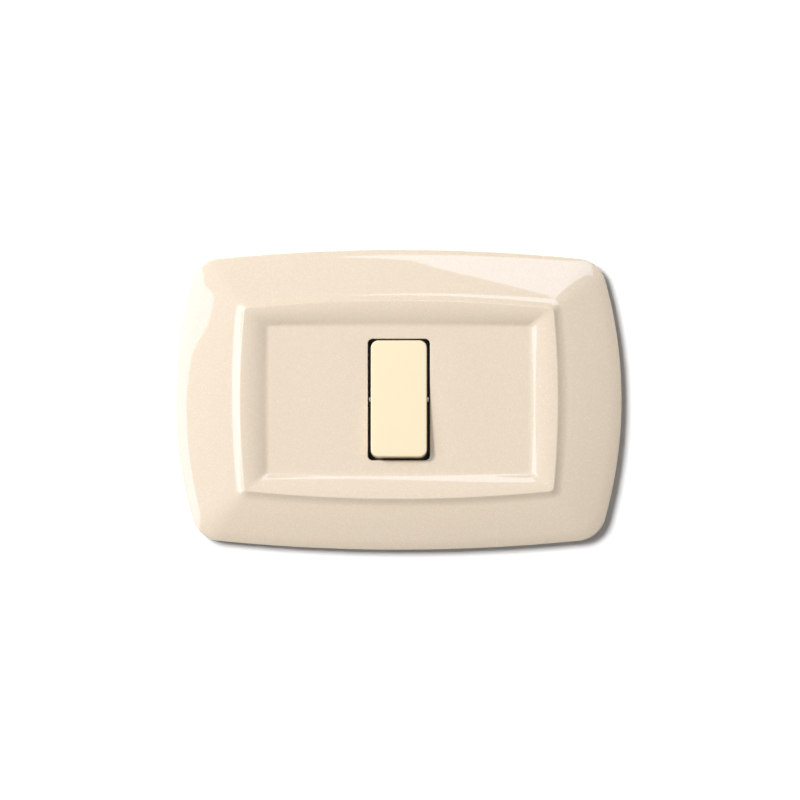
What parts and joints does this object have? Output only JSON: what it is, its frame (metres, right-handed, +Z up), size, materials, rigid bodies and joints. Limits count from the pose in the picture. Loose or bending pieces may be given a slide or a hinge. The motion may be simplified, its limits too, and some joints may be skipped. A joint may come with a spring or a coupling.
{
  "type": "wall switch",
  "caption": "Horizontal barrel-shaped ivory wall switch with a raised inner frame, a narrow upright rocker, a mounting frame and a rear switch module.",
  "frame": {"origin": "middle of the window in the plane of the wall", "axes": "+X to the right as seen from the room, +Y into the wall, +Z up"},
  "size_m": [0.12, 0.0382, 0.0808],
  "materials": {
    "ivory_shell": "glossy pearl",
    "ivory_key": "satin",
    "black_plastic": "matte",
    "grey_plastic": "matte",
    "frame_plastic": "matte",
    "zinc_steel": "zinc plated",
    "nickel": "nickel plated",
    "cradle_plastic": "matte",
    "plunger_plastic": "smooth",
    "spring_steel": "bright wire",
    "copper_alloy": "rolled sheet",
    "silver": "satin silver",
    "brass_sheet": "rolled sheet"
  },
  "bodies": {
    "housing": {"cover_plate": "ivory_shell", "support_frame": "frame_plastic", "box_screws": "zinc_steel", "module_front": "black_plastic", "module_base": "grey_plastic", "housing_rivets": "nickel", "pivot_pin": "zinc_steel", "line_terminal": "brass_sheet", "load_terminal": "brass_sheet", "fixed_contact": "silver"},
    "rocker": {"rocker_key": "ivory_key", "rocker_cradle": "cradle_plastic", "plunger_spring": "spring_steel"},
    "plunger": {"plunger": "plunger_plastic"},
    "contact": {"contact_arm": "copper_alloy", "moving_contact": "silver"},
    "line_clamp": {"line_clamp_plate": "zinc_steel"},
    "line_screw": {"line_terminal_screw": "zinc_steel"},
    "load_clamp": {"load_clamp_plate": "zinc_steel"},
    "load_screw": {"load_terminal_screw": "zinc_steel"}
  },
  "joints": [
    {"name": "rocker_tilt", "type": "hinge", "parent": "housing", "child": "rocker", "pos_m": [0, -0.0043, 0], "axis": [1, 0, 0], "range_deg": [0, 11]},
    {"name": "plunger_slide", "type": "slide", "parent": "rocker", "child": "plunger", "axis": [0, 0.9954, -0.0958], "range_m": [0, 0.0004], "stiffness_N_per_m": 800},
    {"name": "contact_rock", "type": "hinge", "parent": "housing", "child": "contact", "pos_m": [0, 0.01438, 0], "axis": [1, 0, 0], "range_deg": [-24, 0]},
    {"name": "line_clamp_slide", "type": "slide", "parent": "housing", "child": "line_clamp", "axis": [0, 0, 1], "range_m": [0, 0.0027]},
    {"name": "line_screw_turn", "type": "hinge", "parent": "line_clamp", "child": "line_screw", "pos_m": [0, 0.023, 0], "axis": [0, 0, 1], "range_deg": [0, 1620]},
    {"name": "load_clamp_slide", "type": "slide", "parent": "housing", "child": "load_clamp", "axis": [0, 0, -1], "range_m": [0, 0.0027]},
    {"name": "load_screw_turn", "type": "hinge", "parent": "load_clamp", "child": "load_screw", "pos_m": [0, 0.023, 0], "axis": [0, 0, -1], "range_deg": [0, 1620]}
  ],
  "couplings": [
    {"joint": "contact_rock", "follows": "rocker_tilt", "ratio": -2.1818},
    {"joint": "line_screw_turn", "follows": "line_clamp_slide", "rad_per_m": 10472},
    {"joint": "load_screw_turn", "follows": "load_clamp_slide", "rad_per_m": 10472}
  ]
}
